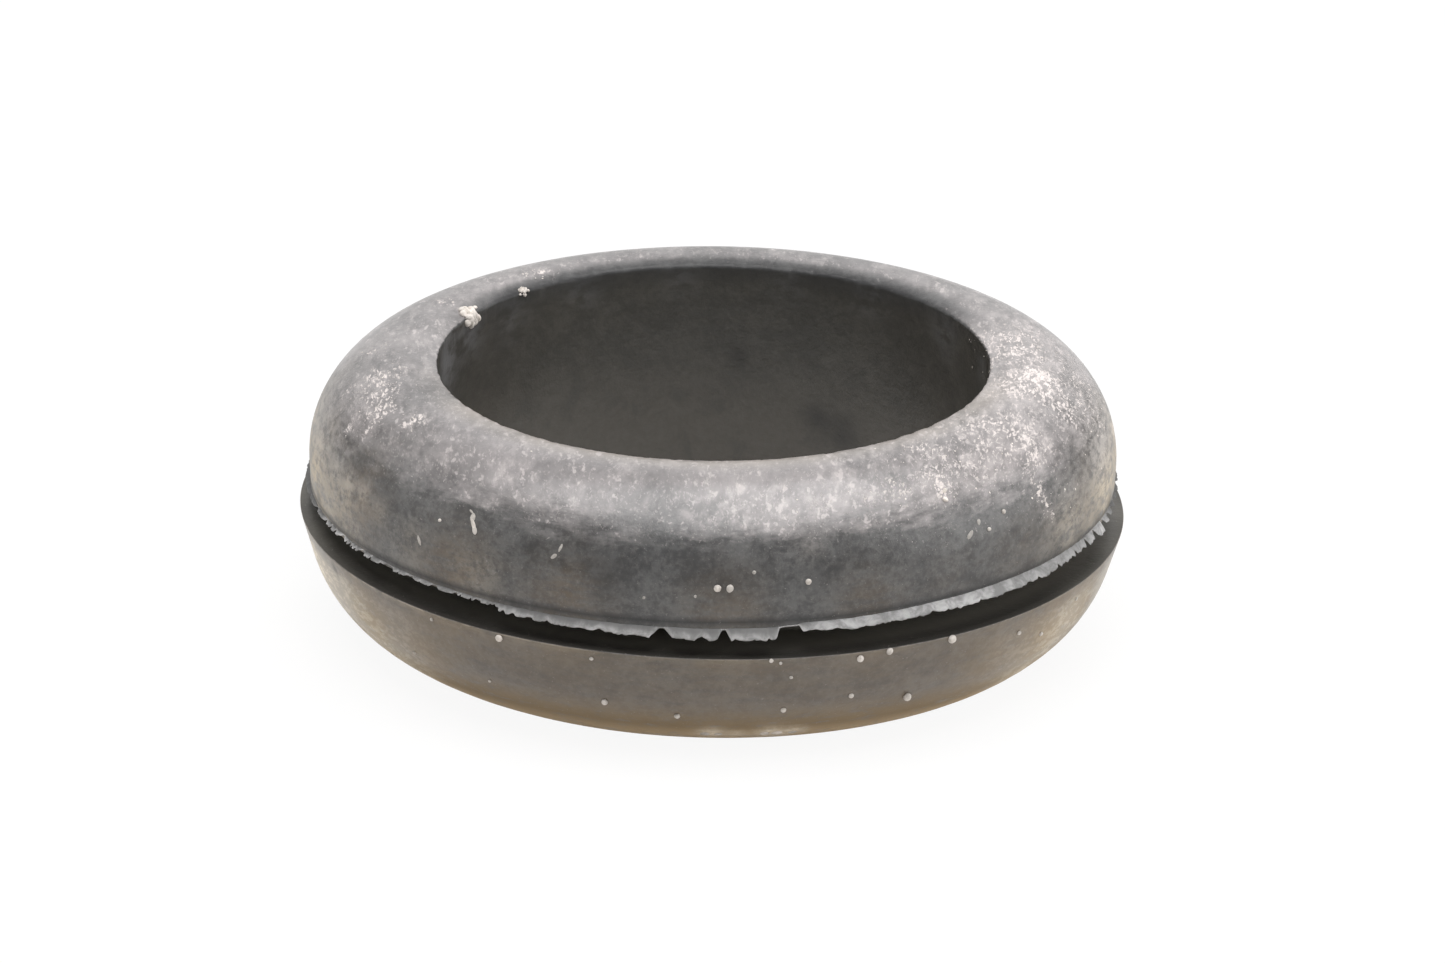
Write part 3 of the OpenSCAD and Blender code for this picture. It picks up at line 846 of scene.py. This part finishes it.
# Single grains: azimuth in degrees, radius, height and size in millimetres, and how dull
grains = [
    (-89.0, 18.6, 8.9, 0.26, 0.4), (-87.3, 18.6, 8.9, 0.26, 0.6), (-76.5, 18.6, 9.1, 0.22, 0.4),
    (-53.4, 17.4, 11.5, 0.2, 0.0), (-52.5, 17.1, 11.8, 0.1, 0.3), (-104.6, 18.2, 2.9, 0.26, 0.4),
    (-60.4, 18.1, 2.7, 0.34, 0.4), (-69.2, 19.2, 5.3, 0.26, 0.4), (-65.0, 19.2, 5.5, 0.24, 0.4),
    (-55.3, 19.2, 5.5, 0.32, 0.4), (-105.9, 19.1, 5.2, 0.16, 0.6), (-81.6, 19.1, 5.6, 0.16, 0.4),
    (-80.3, 19.2, 5.4, 0.13, 0.6), (-78.7, 18.9, 4.6, 0.14, 0.6), (-69.6, 18.4, 3.3, 0.2, 0.4),
    (-79.2, 18.1, 2.8, 0.2, 0.4), (-94.3, 17.9, 2.4, 0.22, 0.4), (-119.4, 19.2, 5.4, 0.27, 0.2),
    (-130.9, 19.2, 5.3, 0.13, 0.6), (-136.9, 18.2, 2.9, 0.12, 0.4), (-122.7, 18.1, 2.8, 0.12, 0.5),
    (-42.0, 18.9, 4.6, 0.18, 0.4), (-36.0, 18.6, 3.9, 0.16, 0.4), (-28.0, 18.9, 4.8, 0.14, 0.4),
    (35.0, 18.5, 8.6, 0.22, 0.4), (58.0, 18.9, 4.9, 0.26, 0.4), (83.0, 18.5, 9.3, 0.2, 0.4),
    (98.0, 18.2, 3.1, 0.28, 0.4), (117.0, 19.2, 5.4, 0.24, 0.4), (139.0, 18.5, 8.8, 0.24, 0.4),
    (156.0, 18.3, 3.2, 0.22, 0.4), (171.0, 18.9, 4.7, 0.26, 0.4), (-44.0, 18.2, 10.5, 0.18, 0.5),
    (-47.5, 18.4, 10.0, 0.16, 0.5), (-131.5, 18.4, 9.9, 0.13, 0.3), (-84.0, 18.5, 9.6, 0.14, 0.8),
    (-92.0, 18.7, 8.5, 0.12, 0.8), (-99.0, 18.7, 8.3, 0.12, 0.8),
]
# Chips that lie flat: azimuth, radius, height, width, length up the side, slant, how dull
chips = [
    (-125.6, 18.2, 10.1, 0.2, 0.7, 36, 0.3), (-126.1, 18.1, 10.4, 0.26, 0.4, 10, 0.55),
    (-125.2, 18.25, 9.9, 0.24, 0.4, 30, 0.5), (-126.6, 18.0, 10.6, 0.1, 0.3, 60, 0.7),
    (-134.6, 18.6, 8.7, 0.15, 0.5, 30, 0.7), (-112.2, 18.4, 9.6, 0.18, 0.35, -50, 0.75),
    (-111.4, 18.3, 10.0, 0.14, 0.4, -15, 0.8), (-51.0, 18.4, 10.0, 0.22, 0.5, -50, 0.85),
    (-49.0, 18.2, 10.4, 0.2, 0.3, -20, 0.85), (-90.3, 16.6, 1.0, 0.45, 0.5, 4, 0.35),
    (-88.2, 16.6, 1.0, 0.35, 0.4, -3, 0.3), (-81.0, 16.6, 1.0, 0.45, 0.5, 2, 0.1),
    (-79.1, 16.6, 1.05, 0.5, 0.55, -3, 0.0), (-76.6, 16.6, 1.0, 0.4, 0.3, 0, 0.35),
    (-52.7, 17.15, 11.85, 0.3, 0.2, 30, 0.2), (-53.3, 17.4, 11.5, 0.22, 0.3, 60, 0.2),
]
# Crusts: azimuth, radius, height, width over all, count of lumps
crusts = [(153.5, 12.8, 12.45, 1.15, 90), (135.2, 12.85, 12.5, 0.6, 30)]


def seat(azimuth, radius, height):
    """The nearest point on the rubber and the direction out of it."""
    spot, outward, _, _ = moulding_surface.find_nearest(place_at(azimuth, radius, height))
    return spot, outward


def bit(spot, outward, width, length, depth, turn, dull):
    """One bit of grit as (centre, rotation, size, dullness), sunk a little into the rubber."""
    facing = outward.to_track_quat("Z", "Y").to_matrix() @ Matrix.Rotation(turn, 3, "Z")
    middle = spot + outward * depth * sunk_share * MM
    return middle, facing.to_euler(), Vector((width, length, depth)) * MM, dull


chance = random.Random(11)
bits = []
for azimuth, radius, height, size, dull in grains:
    spot, outward = seat(azimuth, radius, height)
    size *= grain_swell
    bits.append(bit(spot, outward, size, size * chance.uniform(0.85, 1.15), size * 0.8,
                    chance.uniform(0, 6), dull))
for azimuth, radius, height, width, length, slant, dull in chips:
    spot, outward = seat(azimuth, radius, height)
    bits.append(bit(spot, outward, width, length, chip_depth, math.radians(slant), dull))
for azimuth, radius, height, width, count in crusts:
    middle_spot, outward = seat(azimuth, radius, height)
    for _ in range(count):
        stray = Vector([chance.gauss(0, lump_scatter) * width * MM for _ in range(3)])
        spot, lump_out, _, _ = moulding_surface.find_nearest(middle_spot + stray)
        size = width * chance.uniform(0.14, 0.34)
        bits.append(bit(spot, lump_out, size, size * chance.uniform(0.7, 1.2), size * 0.8,
                        chance.uniform(0, 6), chance.uniform(0, 0.3)))

grit_tree, given, end = new_tree(
    "placed_grit", "GeometryNodeTree",
    {"Places": "Geometry", "Roughness Depth": "Float", "Roughness Scale": "Float", "Material": "Material"},
    {"Geometry": "Geometry"})
turn, size = (mesh_mark(grit_tree, name, "FLOAT_VECTOR") for name in ("turn", "size"))
pebble = node(grit_tree, "GeometryNodeMeshIcoSphere", {"Radius": 0.5, "Subdivisions": 3}).outputs[0]
points = node(grit_tree, "GeometryNodeMeshToPoints", {0: given.outputs["Places"]}).outputs[0]
placed = node(grit_tree, "GeometryNodeInstanceOnPoints",
              {"Points": points, "Instance": pebble, "Rotation": turn, "Scale": size}).outputs[0]
real = node(grit_tree, "GeometryNodeRealizeInstances", {"Geometry": placed}).outputs[0]
normal = node(grit_tree, "GeometryNodeInputNormal").outputs[0]
rough = noise_value(grit_tree, None, given.outputs["Roughness Scale"], detail=3.0, roughness=0.6)
rough = times(grit_tree, maths(grit_tree, "SUBTRACT", rough, 0.5), given.outputs["Roughness Depth"])
bumped = scaled(grit_tree, normal, rough)
rugged = node(grit_tree, "GeometryNodeSetPosition", {"Geometry": real, "Offset": bumped}).outputs[0]
finish_tree(grit_tree, rugged, given.outputs["Material"], end)

grit_material = bpy.data.materials.new("pale_grit")
tree, shader = blank_material(grit_material)
surface = node(tree, "ShaderNodeTexCoord").outputs["Object"]
chalk = (0.76, 0.70, 0.65, 1)
dirty_chalk = (0.50, 0.45, 0.40, 1)
dull_grit = (0.26, 0.25, 0.235, 1)
patchy = noise_value(tree, surface, 2600.0, detail=4.0, roughness=0.6)
colour = colour_mix(tree, ramp(tree, patchy, 0.3, 0.6), dirty_chalk, chalk)
tree.links.new(colour_mix(tree, stored(tree, "dull"), colour, dull_grit), shader.inputs["Base Color"])
shader.inputs["Roughness"].default_value = 0.9
add_grain(tree, shader, surface, 9000.0, 0.7)

grit_places = bpy.data.meshes.new("grit_places")
grit_places.from_pydata([b[0] for b in bits], [], [])
for name, values in (("turn", [list(b[1]) for b in bits]), ("size", [list(b[2]) for b in bits])):
    grit_places.attributes.new(name, "FLOAT_VECTOR", "POINT").data.foreach_set("vector", np.ravel(values))
grit_places.attributes.new("dull", "FLOAT", "POINT").data.foreach_set("value", [b[3] for b in bits])
grit = finished_piece("grit", grit_places, grit_tree, {
    "Roughness Depth": 0.06 * MM, "Roughness Scale": 5000.0, "Material": grit_material})
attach(grit, "root")

# Crumbs scattered where the dust lies thickest
crumb_tree, given, end = new_tree(
    "scattered_crumbs", "GeometryNodeTree",
    {"Rubber": "Geometry", "Crowding": "Float", "Smallest": "Float", "Largest": "Float",
     "Highest": "Float", "Seed": "Int", "Material": "Material"},
    {"Geometry": "Geometry"})
crowding = times(crumb_tree, maths(crumb_tree, "POWER", mesh_mark(crumb_tree, "dust"), 2.4),
                 given.outputs["Crowding"])
place = node(crumb_tree, "GeometryNodeInputPosition").outputs[0]
low_enough = maths(crumb_tree, "LESS_THAN", parts_of(crumb_tree, place)["Z"], given.outputs["Highest"])
crowding = times(crumb_tree, crowding, low_enough)
spread = node(crumb_tree, "GeometryNodeDistributePointsOnFaces", {
    "Mesh": given.outputs["Rubber"], "Density": crowding, "Seed": given.outputs["Seed"]})
crumb = node(crumb_tree, "GeometryNodeMeshIcoSphere", {"Radius": 0.5, "Subdivisions": 1}).outputs[0]
sizes = node(crumb_tree, "FunctionNodeRandomValue", {
    2: given.outputs["Smallest"], 3: given.outputs["Largest"], "Seed": given.outputs["Seed"]},
    data_type="FLOAT").outputs[1]
flat = node(crumb_tree, "FunctionNodeRandomValue", {0: (0.7, 0.7, 0.35), 1: (1.5, 1.5, 0.7)},
            data_type="FLOAT_VECTOR").outputs[0]
placed = node(crumb_tree, "GeometryNodeInstanceOnPoints", {
    "Points": spread.outputs["Points"], "Instance": crumb,
    "Rotation": spread.outputs["Rotation"], "Scale": scaled(crumb_tree, flat, sizes)}).outputs[0]
finish_tree(crumb_tree, placed, given.outputs["Material"], end)
crumbs = finished_piece("crumbs", moulding.data.copy(), crumb_tree, {
    "Crowding": 6e6, "Smallest": 0.03 * MM, "Largest": 0.09 * MM, "Seed": 5,
    "Highest": highest.z - 0.05 * MM,
    "Material": grit_material})
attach(crumbs, "root")

# ---------------------------------------------------------------------------
# Camera, as the grommet is seen from a little above its rim
# ---------------------------------------------------------------------------

camera_data = bpy.data.cameras.new("camera")
camera_data.sensor_width = 36.0
camera_data.lens = 219.88
camera = bpy.data.objects.new("camera", camera_data)
bpy.context.scene.collection.objects.link(camera)
bpy.context.scene.camera = camera

view_rise = math.radians(21.372)
view_distance = 409.24 * MM
view_roll = math.radians(1.356)
middle = Vector((0, 0, 7.04)) * MM
aim = Vector((0.459, -0.124, 6.722)) * MM
camera.location = middle + view_distance * Vector((0, -math.cos(view_rise), math.sin(view_rise)))
gaze = (aim - camera.location).to_track_quat("-Z", "Y").to_matrix()
camera.rotation_euler = (gaze @ Matrix.Rotation(view_roll, 3, "Z")).to_euler()

# ---------------------------------------------------------------------------
# Stage: a pale floor, a broad soft light overhead, and a softer one on each of four sides
# ---------------------------------------------------------------------------

floor_mesh = bpy.data.meshes.new("floor")
floor_half = 3.0
floor_mesh.from_pydata([(-floor_half, -floor_half, 0), (floor_half, -floor_half, 0),
                        (floor_half, floor_half, 0), (-floor_half, floor_half, 0)], [], [(0, 1, 2, 3)])
floor = bpy.data.objects.new("floor", floor_mesh)
bpy.context.scene.collection.objects.link(floor)
floor_paint = bpy.data.materials.new("floor_paint")
tree, shader = blank_material(floor_paint)
floor_cream = (0.88, 0.86, 0.83, 1)
whitening = 0.92
shader.inputs["Base Color"].default_value = floor_cream
shader.inputs["Roughness"].default_value = 0.9
shader.inputs["Specular IOR Level"].default_value = 0.1
rays = node(tree, "ShaderNodeLightPath").outputs
seen = most(tree, rays["Is Camera Ray"], rays["Is Glossy Ray"], rays["Is Transmission Ray"])
white = node(tree, "ShaderNodeEmission", {"Color": (1, 1, 1, 1), "Strength": 1.0}).outputs[0]
whitened = node(tree, "ShaderNodeMixShader", {
    0: times(tree, seen, whitening), 1: shader.outputs[0], 2: white}).outputs[0]
tree.links.new(whitened, tree.nodes["Material Output"].inputs["Surface"])
floor_mesh.materials.append(floor_paint)


def soft_light(name, place, aim, width, depth, radiance):
    """A rectangular soft light of even brightness, aimed at a point."""
    data = bpy.data.lights.new(name, "AREA")
    data.shape = "RECTANGLE"
    data.size = width
    data.size_y = depth
    data.energy = math.pi * width * depth * radiance
    light = bpy.data.objects.new(name, data)
    light.location = place
    light.rotation_euler = (Vector(aim) - Vector(place)).to_track_quat("-Z", "Y").to_euler()
    light.visible_camera = False
    bpy.context.scene.collection.objects.link(light)
    return light


soft_light("overhead", (0.03, -0.05, 0.60), (0, 0, 0), 0.70, 0.62, 4.6)
soft_light("behind", (0, 0.80, 0.35), (0, 0, 0.1), 1.2, 0.6, 0.85)
soft_light("left", (-0.75, 0.05, 0.30), (0, 0, 0.1), 1.0, 0.55, 0.92)
soft_light("front", (0, -0.90, 0.41), (0, 0, 0.05), 1.6, 0.5, 0.42)
soft_light("right", (0.74, -0.06, 0.30), (0, 0, 0.1), 0.9, 0.55, 2.05)

world = bpy.data.worlds.new("studio")
bpy.context.scene.world = world
world.use_nodes = True
tree = world.node_tree
rays = node(tree, "ShaderNodeLightPath").outputs
dim = tree.nodes["Background"]
dim.inputs["Color"].default_value = (1, 1, 1, 1)
dim.inputs["Strength"].default_value = 0.03
bright = node(tree, "ShaderNodeBackground", {"Color": (1, 1, 1, 1), "Strength": 1.0}).outputs[0]
sky = node(tree, "ShaderNodeMixShader", {0: rays["Is Camera Ray"], 1: dim.outputs[0], 2: bright}).outputs[0]
tree.links.new(sky, tree.nodes["World Output"].inputs["Surface"])
bpy.context.scene.view_settings.view_transform = "Standard"
